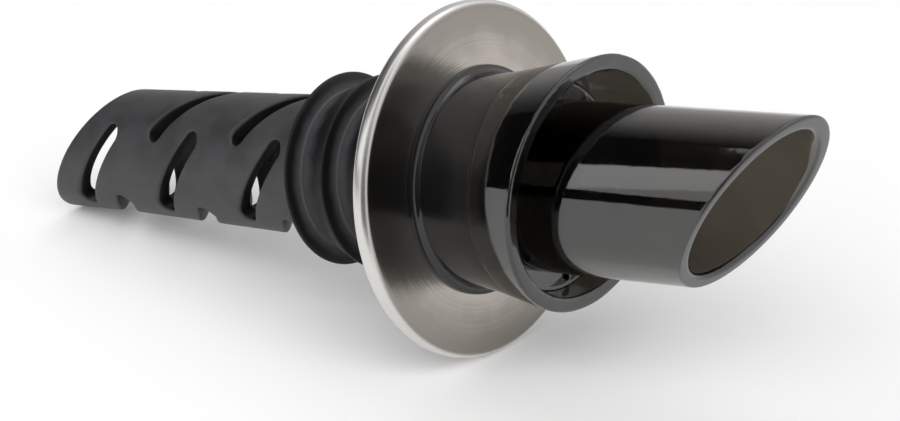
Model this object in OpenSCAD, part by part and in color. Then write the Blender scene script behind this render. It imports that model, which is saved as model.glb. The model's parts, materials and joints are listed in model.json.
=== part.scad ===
// Wine aerator pourer: slotted tube, finned stopper, steel flange and a spout in a flared collar.
// Each piece is drawn upright about +Z, with the flange's front face at z = 0 and the spout above.
// lay() then tips it over as it rests on a table, on the flange's rim and the tube's tip.

/* [Steel flange] */
// Radius of the flange's rim
flange_r = 18.9; // [17:0.1:22]
// Thickness of the flange
flange_t = 1.9; // [1.8:0.1:3]
// Rounding of the rim's two edges
rim_round = 0.7; // [0.3:0.05:0.7]
// Depth of the recess under the flange, which seats the stopper
seat_depth = 0.3; // [0.1:0.1:0.4]

/* [Neck] */
// Radius of the neck at its waist
neck_waist_r = 11.3; // [11.1:0.1:11.9]
// Radius of the neck's top edge, where the collar starts
neck_top_r = 12.2; // [11.9:0.1:13]
// Height of the neck above the flange's face
neck_h = 7.9; // [7:0.1:11]
// Thickness of the foot's edge on the flange's face
neck_foot = 0.3; // [0.1:0.1:0.6]
// Fillet between the foot and the waist
neck_fillet = 0.8; // [0.6:0.1:2.2]
// Radius of the neck's bore, which holds the air ring
neck_bore_r = 10.4; // [10.2:0.05:10.6]
// Height of the bore's floor above the flange's face
bore_floor = 0.6; // [0.3:0.1:1]

/* [Stopper] */
// Length of the stopper below the flange
stopper_len = 19; // [18:0.1:24]
// Number of umbrella fins
fin_count = 3; // [1:1:3]
// Radius of the fins' crests
fin_r = 10.5; // [9.8:0.1:12]
// Distance from one crest to the next
fin_pitch = 5.1; // [4:0.1:6]
// Length of the first fin's cone, from the nose to its crest
nose_cone = 2.5; // [2:0.1:4]
// Radius at the bottom of the grooves
groove_r = 8.6; // [8.3:0.05:9]
// Length in which a fin's back drops from crest to groove
fin_back = 0.4; // [0.3:0.1:1.2]
// Thickness of a fin's rounded crest
crest_t = 0.5; // [0.3:0.05:0.7]
// Radius of the plain shoulder, which fills the bottle's bore
shoulder_r = 9.2; // [8.9:0.05:9.6]

/* [Stem] */
// Radius of the wine channel
stem_bore_r = 5.2; // [4.4:0.1:5.4]
// Radius of the stem inside the stopper
stem_r = 7.1; // [7:0.05:7.3]
// Radius of the stem where it passes the flange
stem_neck_r = 6.6; // [6.4:0.05:6.8]
// Radius of the head that the flange is clamped against
stem_head_r = 8; // [7.7:0.1:8.4]
// Thickness of the head
stem_head_t = 1.5; // [1:0.1:2.5]
// Height of the stem's top above the flange's face
stem_top = 2.8; // [2.2:0.1:3]

/* [Aeration tube] */
// Radius of the tube where it meets the stopper
tube_root_r = 7.85; // [7.7:0.05:8.05]
// Radius of the tube at its tip
tube_tip_r = 7.05; // [6.8:0.05:7.4]
// Wall of the tube
tube_wall = 1.8; // [1:0.1:1.9]
// Length from the stopper to the middle of the slanted tip
tube_len = 35.5; // [33:0.1:40]
// Angle of the slanted tip
tip_cut = 36; // [0:1:42]
// Length of the sleeve that reaches into the stopper
sleeve_len = 9; // [6:0.5:12]
// Wall of that sleeve
sleeve_wall = 0.75; // [0.6:0.05:0.9]

/* [Slots] */
// Number of rows round the tube
slot_rows = 5; // [3:1:5]
// Number of slots along each row
slot_stations = 3; // [1:1:3]
// Distance from the stopper to the middle of the first slot
slot_start = 5.2; // [4.6:0.1:6]
// Distance along the tube from one slot to the next
slot_pitch = 12.95; // [12.9:0.05:15]
// Width of a slot
slot_w = 1.9; // [1.4:0.1:2.6]
// Length of a slot, with its round ends
slot_len = 11.6; // [7:0.1:13.2]
// Lean of a slot from square across the tube
slot_lean = 37; // [20:1:42]
// Turn of the first row from the top towards the near side
slot_turn = 90; // [60:1:100]
// Plain edge left between a slot and the slanted tip
tip_land = 1.2; // [0.6:0.1:2]

/* [Air ring] */
// Radius of the socket for the spout's spigot
socket_r = 7.65; // [7.3:0.05:7.8]
// Height of the chamber where air meets the wine
chamber_h = 1.2; // [1.1:0.1:1.6]
// Number of air passages
vent_count = 8; // [4:1:12]
// Diameter of an air passage
vent_d = 1; // [0.6:0.1:1.1]

/* [Collar] */
// Widening of the collar for each millimetre of height
collar_flare = 0.2; // [0.1:0.01:0.3]
// Wall of the collar
collar_wall = 1.6; // [1.2:0.1:1.8]
// Thickness of the collar's floor
collar_floor = 1.4; // [1:0.1:2]
// Height of the collar from the neck to the middle of its rim
collar_h = 6.3; // [5.5:0.1:12]
// Angle of the slanted rim
collar_cut = 10; // [0:1:12]

/* [Spout] */
// Outer radius of the spout
spout_r = 8.95; // [8.7:0.05:9.2]
// Wall of the spout
spout_wall = 1.5; // [1.2:0.1:1.8]
// Length from the collar's floor to the middle of the slanted mouth
spout_len = 25.2; // [20:0.1:35]
// Angle of the slanted mouth
mouth_cut = 36.5; // [0:0.5:45]
// Wall of the spigot below the collar
spigot_wall = 1.5; // [1.4:0.1:1.8]

/* [Cuts] */
// Turn of the three slanted cuts' long sides from the top towards the near side
cut_turn = -12; // [-30:1:30]

/* [Seals] */
// Thickness of the spout's seal ring
spout_seal_d = 0.8; // [0.5:0.1:0.9]
// Thickness of the stem's seal ring
stem_seal_d = 0.7; // [0.4:0.1:0.8]
// Room beside each seal ring in its groove
seal_room = 0.1; // [0.05:0.05:0.15]

/* [Fits] */
// Clearance between a piece and the bore that holds it
fit = 0.05; // [0.02:0.01:0.08]

/* [Hidden] */
$fn = 96;
ARC_STEPS = 8;
SETTLE_STEPS = 40;
SETTLE_HIGH = 60;
REACH_STEPS = 24;
// Extra length of a cutting solid past the face that it opens
over = 1;
// Levels along the axis
stopper_top = seat_depth - flange_t;
nose_z = -flange_t - stopper_len;
tip_z = nose_z - tube_len;
sleeve_top = nose_z + sleeve_len;
ring_top = neck_h;
chamber_top = stem_top + chamber_h;
floor_top = neck_h + collar_floor;
rim_z = neck_h + collar_h;
mouth_z = floor_top + spout_len;
// Turn of a crest's arc from square out, before and behind the crest
crest_before = 60;
crest_behind = 70;
// Radii of the fits
sleeve_r = stem_r;
spigot_stem_r = sleeve_r - sleeve_wall - fit;
spigot_r = socket_r - fit;
spigot_bore_r = spigot_r - spigot_wall;
spout_bore_r = spout_r - spout_wall;
boss_step = 0.5;
floor_wall_r = neck_top_r + collar_flare * collar_floor - collar_wall;
vent_r = (spout_r + floor_wall_r) / 2;
// Slot cutters start inside the tube's wall, where they don't meet one another
slot_half = (slot_len - slot_w) / 2;
slot_round = slot_half * cos(slot_lean) + slot_w / 2;
slot_from = max(0, sqrt(max(0, pow(tube_tip_r - tube_wall, 2) - pow(slot_round, 2))) - over);
// Rest on the rim and the tip
rest_tilt = settle(0, SETTLE_HIGH, SETTLE_STEPS);
rest_z = -rim_low(rest_tilt);
rest_x = -(far_x(mouth_z, mouth_cut, spout_r, 1) + far_x(tip_z, tip_cut, tube_tip_r, -1)) / 2;

// Points along an arc about [x, y]
function arc(x, y, r, from, to) =
    [for (i = [0:ARC_STEPS]) let (a = from + (to - from) * i / ARC_STEPS) [x + r * cos(a), y + r * sin(a)]];

// Height of the rim's lowest point below the axis' zero when the pourer is tipped by t
function rim_low(t) =
    -(flange_r - rim_round) * cos(t) - (flange_t - rim_round) * sin(t) - rim_round;

// The same for the lowest point on the slanted tip
function tip_low(t) = let (k = tan(tip_cut) * sin(t))
    tip_z * sin(t) - tube_tip_r * norm([k * cos(cut_turn) + cos(t), k * sin(cut_turn)]);

// Tilt at which the rim and the tip are level, by halving
function settle(low, high, steps) = let (mid = (low + high) / 2)
    steps == 0 ? mid
    : rim_low(mid) > tip_low(mid) ? settle(low, mid, steps - 1)
    : settle(mid, high, steps - 1);

// Farthest point along the table of a tube end cut at a slant, side 1 for the spout, -1 for the tip
function far_x(z, cut, r, side) = let (k = tan(cut) * cos(rest_tilt))
    z * cos(rest_tilt) + side * r * norm([k * cos(cut_turn) - sin(rest_tilt), k * sin(cut_turn)]);

// Level of the tip's slanted edge at an angle round the tube
function tip_edge(angle) = tip_z + tan(tip_cut) * tube_tip_r * cos(angle - cut_turn);

// Whether a slot's end at u along the slot stays clear of the slanted tip
function slot_clear(row, station, u) =
    station - u * sin(slot_lean) - slot_w / 2 - tip_land
    >= tip_edge(row + asin(u * cos(slot_lean) / tube_root_r));

// How far a slot can run towards the tip, a list that is empty where there is no room at all
function slot_reach(row, station) =
    [for (i = [0:REACH_STEPS]) let (u = -slot_half + 2 * slot_half * i / REACH_STEPS)
        if (slot_clear(row, station, u)) u];

// Radius of the flared collar's outside at a level
function collar_r(z) = neck_top_r + collar_flare * (z - neck_h);

// Tips a piece from upright to its rest, with its +X side up and its +Y side to the front
module lay() {
    translate([rest_x, 0, rest_z])
        rotate([0, 90 - rest_tilt, 0])
            rotate([0, 0, 180])
                children();
}

// Takes away everything above a plane through z that rises towards the cuts' long side
module slant_off(z, cut, size) {
    rotate([0, 0, cut_turn])
        translate([0, 0, z])
            rotate([0, -cut, 0])
                translate([-size, -size, 0])
                    cube([2 * size, 2 * size, 2 * size]);
}

// Revolved ring between two radii and two levels
module ring(inner, outer, low, high) {
    rotate_extrude()
        translate([inner, low])
            square([outer - inner, high - low]);
}

// Straight bore from low to high
module bore(r, low, high) {
    translate([0, 0, low])
        cylinder(r = r, h = high - low);
}

// Torus of a seal ring that touches the radius r from inside
module seal(r, d, z) {
    rotate_extrude()
        translate([r - d / 2, z])
            circle(d = d);
}

// Cutter of one leaning slot, left out where less than half of its length clears the tip
module slot(row, station) {
    reach = slot_reach(row, station);
    if (len(reach) > 0) {
        end = max(reach);
        if (end >= 0)
            rotate([0, 0, row])
                translate([0, 0, station])
                    rotate([0, 90, 0])
                        translate([0, 0, slot_from])
                            linear_extrude(height = tube_root_r + over - slot_from)
                                rotate(90 - slot_lean) {
                                    translate([-slot_half, -slot_w / 2])
                                        square([end + slot_half, slot_w]);
                                    translate([-slot_half, 0])
                                        circle(d = slot_w);
                                    translate([end, 0])
                                        circle(d = slot_w);
                                }
    }
}

// Outside of the tube, solid: sleeve, tapered run and a straight end for the slanted cut
module tube_outline(inset) {
    tip_start = tip_z + tube_tip_r * tan(tip_cut);
    tip_end = tip_z - tube_tip_r * tan(tip_cut) - over;
    rotate_extrude()
        polygon([
            [0, tip_end],
            [tube_tip_r - inset, tip_end],
            [tube_tip_r - inset, tip_start],
            [tube_root_r - inset, nose_z],
            [0, nose_z],
        ]);
}

module aeration_tube() {
    color([0.16, 0.16, 0.17])
        lay()
            difference() {
                union() {
                    tube_outline(0);
                    bore(sleeve_r, nose_z - over, sleeve_top);
                }
                tube_outline(tube_wall);
                bore(sleeve_r - sleeve_wall, nose_z - over, sleeve_top + over);
                // The slanted tip, cut from below
                mirror([0, 0, 1])
                    rotate([0, 0, cut_turn])
                        translate([0, 0, -tip_z])
                            rotate([0, tip_cut, 0])
                                translate([-tube_len, -tube_len, 0])
                                    cube([2 * tube_len, 2 * tube_len, 2 * tube_len]);
                for (i = [0:slot_rows - 1], j = [0:slot_stations - 1])
                    slot(slot_turn + i * 360 / slot_rows, nose_z - slot_start - j * slot_pitch);
            }
}

// Half outline of one fin, from the groove before it to the groove behind it
function fin_outline(crest_z, start_r, start_z) = concat(
    [[start_r, start_z]],
    arc(fin_r - crest_t / 2, crest_z - crest_t / 2, crest_t / 2, -crest_before, crest_behind),
    [[groove_r, crest_z + fin_back]]);

module stopper() {
    last_groove = nose_z + nose_cone + (fin_count - 1) * fin_pitch + fin_back;
    fins = [for (i = [0:fin_count - 1]) each
        fin_outline(nose_z + nose_cone + i * fin_pitch,
                    i == 0 ? tube_root_r : groove_r,
                    i == 0 ? nose_z : nose_z + nose_cone + (i - 1) * fin_pitch + fin_back)];
    color([0.10, 0.10, 0.11])
        lay()
            difference() {
                rotate_extrude()
                    polygon(concat(
                        [[0, nose_z]],
                        fins,
                        [[shoulder_r, last_groove + shoulder_r - groove_r],
                         [shoulder_r, stopper_top],
                         [0, stopper_top]]));
                bore(stem_r + fit, nose_z - over, stopper_top + over);
                bore(stem_head_r + fit, stopper_top - stem_head_t - fit, stopper_top + over);
            }
}

module stem() {
    seal_h = stem_seal_d + seal_room;
    color([0.2, 0.2, 0.21])
        lay()
            difference() {
                union() {
                    bore(spigot_stem_r, nose_z, sleeve_top + fit);
                    bore(stem_r, sleeve_top + fit, stopper_top - stem_head_t);
                    bore(stem_head_r, stopper_top - stem_head_t, stopper_top);
                    bore(stem_neck_r, stopper_top, stem_top);
                }
                bore(stem_bore_r, nose_z - over, stem_top + over);
                ring(stem_neck_r - stem_seal_d, stem_neck_r + over,
                     -flange_t / 2 - seal_h / 2, -flange_t / 2 + seal_h / 2);
            }
}

module steel_flange() {
    color([0.72, 0.70, 0.67])
        lay()
            difference() {
                rotate_extrude()
                    union() {
                        translate([0, -flange_t])
                            square([flange_r - rim_round, flange_t]);
                        translate([0, rim_round - flange_t])
                            square([flange_r, flange_t - 2 * rim_round]);
                        translate([flange_r - rim_round, -rim_round])
                            circle(r = rim_round);
                        translate([flange_r - rim_round, rim_round - flange_t])
                            circle(r = rim_round);
                    }
                bore(shoulder_r + fit, -flange_t - over, stopper_top);
                bore(stem_neck_r + fit, -flange_t - over, over);
            }
}

// Waisted outside of the neck, from the foot's edge over the fillet to the flared top
function neck_outline() = let (waist_z = neck_foot + neck_fillet) concat(
    [[neck_waist_r + neck_fillet, 0]],
    arc(neck_waist_r + neck_fillet, waist_z, neck_fillet, 270, 180),
    [for (i = [1:ARC_STEPS]) let (f = i / ARC_STEPS)
        [neck_waist_r + (neck_top_r - neck_waist_r) * (1 - cos(90 * f)),
         waist_z + (neck_h - waist_z) * f]]);

module neck() {
    color([0.09, 0.09, 0.10])
        lay()
            difference() {
                rotate_extrude()
                    polygon(concat([[0, 0]], neck_outline(), [[0, neck_h]]));
                bore(stem_neck_r + fit, -over, bore_floor + over);
                bore(neck_bore_r, bore_floor, neck_h + over);
            }
}

module air_ring() {
    vent_mid = (stem_top + chamber_top) / 2;
    color([0.14, 0.14, 0.15])
        lay()
            difference() {
                bore(neck_bore_r - fit, bore_floor, ring_top);
                bore(stem_neck_r + fit, bore_floor - over, ring_top);
                bore(stem_neck_r + boss_step, stem_top, ring_top);
                bore(socket_r, chamber_top, ring_top + over);
                // Air comes down the outside in grooves and in to the chamber
                for (i = [0:vent_count - 1])
                    rotate([0, 0, i * 360 / vent_count]) {
                        translate([neck_bore_r - vent_d, -vent_d / 2, vent_mid])
                            cube([2 * vent_d, vent_d, ring_top]);
                        translate([0, 0, vent_mid])
                            rotate([0, 90, 0])
                                cylinder(d = vent_d, h = neck_bore_r + over);
                    }
                // Groove that joins the passages below the collar's floor
                ring(vent_r - vent_d / 2, neck_bore_r + over, ring_top - vent_d, ring_top + over);
            }
}

module collar() {
    top = rim_z + collar_r(rim_z) * tan(collar_cut) + over * 2;
    color([0.09, 0.09, 0.11])
        lay()
            difference() {
                rotate_extrude()
                    polygon([[0, neck_h], [collar_r(neck_h), neck_h], [collar_r(top), top], [0, top]]);
                rotate_extrude()
                    polygon([[0, floor_top], [collar_r(floor_top) - collar_wall, floor_top],
                             [collar_r(top + over) - collar_wall, top + over], [0, top + over]]);
                bore(spigot_r + fit, neck_h - over, floor_top + over);
                for (i = [0:vent_count - 1])
                    rotate([0, 0, i * 360 / vent_count])
                        translate([vent_r, 0, 0])
                            bore(vent_d / 2, neck_h - over, floor_top + over);
                slant_off(rim_z, collar_cut, 2 * neck_top_r);
            }
}

module spout_tube() {
    top = mouth_z + spout_r * tan(mouth_cut) + over;
    step = spout_bore_r - spigot_bore_r;
    seal_h = spout_seal_d + seal_room;
    seal_z = (chamber_top + neck_h) / 2;
    color([0.10, 0.10, 0.12])
        lay()
            difference() {
                union() {
                    bore(spigot_r, chamber_top, floor_top);
                    bore(spout_r, floor_top, top);
                }
                bore(spigot_bore_r, chamber_top - over, floor_top + over);
                rotate_extrude()
                    polygon([[0, floor_top], [spigot_bore_r, floor_top], [spout_bore_r, floor_top + step],
                             [spout_bore_r, top + over], [0, top + over]]);
                ring(spigot_r - spout_seal_d, spigot_r + over, seal_z - seal_h / 2, seal_z + seal_h / 2);
                slant_off(mouth_z, mouth_cut, 2 * spout_len);
            }
}

module spout_o_ring() {
    color([0.05, 0.05, 0.05])
        lay()
            seal(spigot_r, spout_seal_d, (chamber_top + neck_h) / 2);
}

module stem_o_ring() {
    color([0.05, 0.05, 0.05])
        lay()
            seal(stem_neck_r, stem_seal_d, -flange_t / 2);
}

aeration_tube();
stopper();
stem();
steel_flange();
neck();
air_ring();
collar();
spout_tube();
spout_o_ring();
stem_o_ring();
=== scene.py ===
"""Wine aerator pourer: the finished look of each piece over the fixed CAD frame.

Every piece is worked out in the pourer's own upright frame, in millimetres: z runs along the
axis towards the spout with the flange's front face at 0, x is the top side and y the near side.
Rest.place() then tips it over and carries it to the table, in metres.
"""

import json
import logging
import math
from dataclasses import dataclass
from enum import Enum
from typing import Any

import bpy
import numpy as np
from mathutils import Matrix

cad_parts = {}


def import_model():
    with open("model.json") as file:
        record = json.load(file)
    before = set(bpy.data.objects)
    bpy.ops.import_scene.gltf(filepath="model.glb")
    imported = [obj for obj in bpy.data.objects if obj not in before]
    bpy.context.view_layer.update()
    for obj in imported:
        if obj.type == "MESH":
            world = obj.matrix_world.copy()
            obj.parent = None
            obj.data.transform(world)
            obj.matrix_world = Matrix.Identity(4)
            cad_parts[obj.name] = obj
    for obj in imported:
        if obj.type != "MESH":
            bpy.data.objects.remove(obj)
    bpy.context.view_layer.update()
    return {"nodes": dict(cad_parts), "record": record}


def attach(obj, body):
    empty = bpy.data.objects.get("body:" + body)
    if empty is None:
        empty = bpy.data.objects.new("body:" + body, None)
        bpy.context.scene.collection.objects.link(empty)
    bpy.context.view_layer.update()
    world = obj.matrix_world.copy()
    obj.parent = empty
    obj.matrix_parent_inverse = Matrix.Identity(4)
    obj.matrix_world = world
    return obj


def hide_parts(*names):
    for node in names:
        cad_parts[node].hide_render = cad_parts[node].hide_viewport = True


MM = 0.001
LOG = logging.getLogger("pourer")
BODY = "root"
# Middle of the pourer as it lies, in metres.
MIDDLE = np.array((0.0, 0.0, 0.018))
# Most of a side that one rounding may take.
SIDE_SHARE = 0.48
# Keeps a division from meeting nought.
TINY = 1e-9


class Slot(Enum):
    """The record's material slots."""

    MOULDING = "black_matte"
    SILICONE = "black_silicone"
    STEEL = "steel"
    SMOKED = "smoked_gloss"
    SEAL = "seal_rubber"


@dataclass(frozen=True)
class Rest:
    """How the pourer lies: its own axes and its zero, seen from the table, in metres."""

    zero: np.ndarray
    up: np.ndarray
    near: np.ndarray
    along: np.ndarray

    @classmethod
    def from_record(cls, record: dict[str, Any], seat: "SteelFlange") -> "Rest":
        """Finds the axes from the mount that lies under the flange.

        Args:
            record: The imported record, whose bottle_lip_seat points back along the axis.
            seat: The flange, which says where on itself that mount is.

        Returns:
            The lie of the pourer.
        """
        mount = next(m for m in record["mounts"] if m["name"] == "bottle_lip_seat")
        along = -np.array(mount["axis"], float)
        along /= np.linalg.norm(along)
        up = np.array([-along[2], 0.0, along[0]])
        near = np.cross(along, up)
        out = (seat.recess_r + seat.flange_r - seat.rim_round) / 2
        zero = np.array(mount["pos_m"], float) - MM * (out * up - seat.flange_t * along)
        return cls(zero, up, near, along)

    def place(self, points: np.ndarray) -> np.ndarray:
        """Carries own points to the table: zero + x up + y near + z along.

        Args:
            points: Array whose last axis is own x, y and z in millimetres.

        Returns:
            The same points in metres, in the frame of the table.
        """
        axes = np.stack([self.up, self.near, self.along])
        return self.zero + MM * points @ axes


def arc(centre: tuple[float, float], radius: float, start: float, end: float, steps: int) -> list:
    """Points on an arc: centre + radius times cosine and sine of an even run of angles.

    Args:
        centre: Radius and level of the arc's centre.
        radius: Its radius.
        start: First angle in degrees, 0 pointing outwards.
        end: Last angle in degrees.
        steps: Number of equal steps.

    Returns:
        Corners without rounding, as (radius, level, 0).
    """
    turns = np.radians(np.linspace(start, end, steps + 1))
    return [(centre[0] + radius * math.cos(a), centre[1] + radius * math.sin(a), 0.0) for a in turns]


def soften(corners: list, turns: np.ndarray, step: float, fillet_steps: int = 6) -> np.ndarray:
    """A closed outline with rounded corners at every angle round the axis.

    Each corner is replaced by an arc that touches both of its sides, from the touching point
    before it to the one behind it, and the straight runs between arcs are cut into even steps.

    Args:
        corners: (radius, level, rounding), each a number or an array over the turns.
        turns: Angles round the axis in radians.
        step: Longest step along a straight run, in millimetres.
        fillet_steps: Steps in each rounding.

    Returns:
        Array of turns by points by (radius, level).
    """
    ones = np.ones_like(turns)
    spots = np.stack([np.stack([ones * r, ones * z], -1) for r, z, _ in corners], 1)
    rounding = np.array([c[2] for c in corners])
    to_last = np.roll(spots, 1, 1) - spots
    to_next = np.roll(spots, -1, 1) - spots
    far_last = np.linalg.norm(to_last, axis=-1, keepdims=True)
    far_next = np.linalg.norm(to_next, axis=-1, keepdims=True)
    to_last, to_next = to_last / far_last, to_next / far_next
    half = np.arccos(np.clip((to_last * to_next).sum(-1, keepdims=True), -1, 1)) / 2
    reach = rounding[None, :, None] / np.tan(half)
    reach = np.minimum(reach, SIDE_SHARE * np.minimum(far_last, far_next))
    radius = reach * np.tan(half)
    middle = to_last + to_next
    middle /= np.maximum(np.linalg.norm(middle, axis=-1, keepdims=True), TINY)
    centre = spots + middle * radius / np.sin(half)
    first, last = spots + to_last * reach, spots + to_next * reach
    swing = np.pi - 2 * half
    runs = []
    for i, amount in enumerate(rounding):
        if amount > 0:
            share = np.linspace(0, 1, fillet_steps + 1)[None, :, None]
            turn = np.maximum(swing[:, i, None], TINY)
            arm_a, arm_b = (first - centre)[:, i, None], (last - centre)[:, i, None]
            swept = (np.sin((1 - share) * turn) * arm_a + np.sin(share * turn) * arm_b) / np.sin(turn)
            runs.append(centre[:, i, None] + swept)
        else:
            runs.append(spots[:, i, None])
        j = (i + 1) % len(rounding)
        gap = np.linalg.norm(first[:, j] - last[:, i], axis=-1).max()
        count = max(int(math.ceil(gap / step)), 1)
        share = np.linspace(0, 1, count + 1)[None, 1:-1, None]
        runs.append(last[:, i, None] * (1 - share) + first[:, j, None] * share)
    return np.concatenate(runs, 1)


def ring_quads(rows: int, columns: int) -> np.ndarray:
    """Quads of a grid that closes on itself both ways.

    Args:
        rows: Points round the axis.
        columns: Points along the outline.

    Returns:
        Four point numbers for each quad.
    """
    here = np.arange(rows * columns).reshape(rows, columns)
    beside = np.roll(here, -1, 0)
    return np.stack([here, beside, np.roll(beside, -1, 1), np.roll(here, -1, 1)], -1).reshape(-1, 4)


def make_piece(name: str, points: np.ndarray, quads: np.ndarray) -> bpy.types.Object:
    """Puts a closed surface into a smooth mesh with its faces outwards.

    The signed volume is the sum of first corner . (second x third) / 6 over the triangles.

    Args:
        name: The piece's name.
        points: Points in metres.
        quads: Four point numbers for each quad.

    Returns:
        The piece, at the origin.
    """
    a, b, c, d = (points[quads[:, k]] for k in range(4))
    volume = (a * (np.cross(b, c) + np.cross(c, d))).sum() / 6
    if volume < 0:
        quads = quads[:, ::-1]
    mesh = bpy.data.meshes.new(name)
    mesh.vertices.add(len(points))
    mesh.vertices.foreach_set("co", np.ascontiguousarray(points, np.float32).ravel())
    mesh.loops.add(quads.size)
    mesh.loops.foreach_set("vertex_index", np.ascontiguousarray(quads, np.int32).ravel())
    mesh.polygons.add(len(quads))
    mesh.polygons.foreach_set("loop_start", np.arange(0, quads.size, 4, dtype=np.int32))
    mesh.update(calc_edges=True)
    mesh.polygons.foreach_set("use_smooth", np.ones(len(quads), bool))
    mesh.validate()
    piece = bpy.data.objects.new(name, mesh)
    bpy.context.scene.collection.objects.link(piece)
    LOG.info("%s: %d faces, %.1f mm3", name, len(quads), abs(volume) / MM ** 3)
    return piece


@dataclass
class Ring:
    """A piece turned round the axis from one outline."""

    name: str
    turns: int = 288
    step: float = 0.4

    def corners(self, turns: np.ndarray) -> list:
        """The outline's corners, as soften() takes them."""
        raise NotImplementedError

    def build(self, rest: Rest) -> bpy.types.Object:
        """Turns the outline: at an angle a its point (r, z) goes to (r cos a, r sin a, z).

        Args:
            rest: How the pourer lies.

        Returns:
            The piece.
        """
        turns = np.linspace(0, 2 * math.pi, self.turns, endpoint=False)
        outline = soften(self.corners(turns), turns, self.step)
        r, z = outline[..., 0], outline[..., 1]
        own = np.stack([r * np.cos(turns)[:, None], r * np.sin(turns)[:, None], z], -1)
        return make_piece(self.name, rest.place(own.reshape(-1, 3)), ring_quads(*r.shape))


def round_max(a: np.ndarray, b: np.ndarray, width: float) -> np.ndarray:
    """The larger of two depths, blended by a parabola where they differ by less than width."""
    near = np.maximum(width - np.abs(a - b), 0) / width
    return np.maximum(a, b) + near * near * width / 4


@dataclass
class Solid:
    """A shape given by its depth: a function of angle, level and radius, negative inside."""

    name: str
    cell: float = 0.23
    room: float = 0.5
    nudge_share: float = 0.05
    rounds: int = 3
    least_slope: float = 0.2

    def depth(self, turn: np.ndarray, level: np.ndarray, radius: np.ndarray) -> np.ndarray:
        """Depth of points under the surface, about in millimetres."""
        raise NotImplementedError

    def reach(self) -> tuple[tuple, tuple]:
        """The levels and the radii between which the shape lies, with some room."""
        raise NotImplementedError

    def build(self, rest: Rest) -> bpy.types.Object:
        """A net over the surface: one point in each cell of a cylindrical grid that it crosses.

        The point is the mean of the places where the depth changes sign on the cell's edges,
        then it moves along the depth's slope until the depth is nought. The angle closes on
        itself, so its last tick is left out.

        Args:
            rest: How the pourer lies.

        Returns:
            The piece.
        """
        levels, radii = self.reach()
        sides = (2 * math.pi * radii[1], np.ptp(levels), np.ptp(radii))
        count = np.array([int(side / self.cell) for side in sides])
        start = np.array([0.0, levels[0], radii[0]])
        pitch = np.array([2 * math.pi, sides[1], sides[2]]) / count
        ticks = [start[k] + pitch[k] * np.arange(count[k] + (k > 0)) for k in range(3)]
        grid = np.meshgrid(*ticks, indexing="ij")
        spots, quads = cross_net(self.depth(*grid))
        places = start + pitch * spots
        for _ in range(self.rounds):
            places = self.settle(places)
        turn, level, radius = places.T
        own = np.stack([radius * np.cos(turn), radius * np.sin(turn), level], -1)
        return make_piece(self.name, rest.place(own), quads)

    def settle(self, places: np.ndarray) -> np.ndarray:
        """Moves points on to the surface: each goes by -depth * slope / (slope . slope).

        Args:
            places: Angle, level and radius of each point.

        Returns:
            The places after the move.
        """
        turn, level, radius = places.T
        here = self.depth(turn, level, radius)
        nudge = self.nudge_share * self.cell
        aside = nudge / radius
        slope = np.stack([
            self.depth(turn + aside, level, radius) - self.depth(turn - aside, level, radius),
            self.depth(turn, level + nudge, radius) - self.depth(turn, level - nudge, radius),
            self.depth(turn, level, radius + nudge) - self.depth(turn, level, radius - nudge),
        ], -1) / (2 * nudge)
        size = np.maximum((slope * slope).sum(-1), self.least_slope)
        move = -(np.clip(here / size, -self.cell, self.cell))[:, None] * slope
        move[:, 0] /= radius
        return places + move


def cross_net(depth: np.ndarray) -> tuple[np.ndarray, np.ndarray]:
    """Surface net of a grid of depths whose first axis closes on itself.

    Where the depth changes sign on a grid edge, the crossing lies at d0 / (d0 - d1) of the edge.
    It counts for the four cells round the edge, and a quad joins those cells' points.

    Args:
        depth: Depths on the grid.

    Returns:
        The points in grid steps and the quads that join them.
    """
    rows = depth.shape[0]
    cells = (rows, depth.shape[1] - 1, depth.shape[2] - 1)
    total, hits, faces = np.zeros((np.prod(cells), 3)), np.zeros(np.prod(cells)), []
    for axis in range(3):
        across, beyond = (axis + 1) % 3, (axis + 2) % 3
        ahead = np.roll(depth, -1, axis)
        crossed = (depth < 0) != (ahead < 0)
        if axis:
            crossed[(slice(None),) * axis + (-1,)] = False
        spot = np.argwhere(crossed)
        here, there = depth[crossed], ahead[crossed]
        share = here / (here - there)
        around = []
        for back in ((1, 1), (0, 1), (0, 0), (1, 0)):
            cell, offset = spot.copy(), np.zeros((len(spot), 3))
            cell[:, across] -= back[0]
            cell[:, beyond] -= back[1]
            offset[:, axis], offset[:, across], offset[:, beyond] = share, back[0], back[1]
            cell[:, 0] %= rows
            flat = np.ravel_multi_index(tuple(cell.T), cells)
            for k in range(3):
                total[:, k] += np.bincount(flat, offset[:, k], len(total))
            hits += np.bincount(flat, minlength=len(hits))
            around.append(flat)
        quad = np.stack(around, -1)
        faces.append(np.where((here < 0)[:, None], quad, quad[:, ::-1]))
    used = np.flatnonzero(hits)
    number = np.zeros(len(hits), int)
    number[used] = np.arange(len(used))
    corner = np.stack(np.unravel_index(used, cells), -1)
    return corner + total[used] / hits[used, None], number[np.concatenate(faces)]


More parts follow.
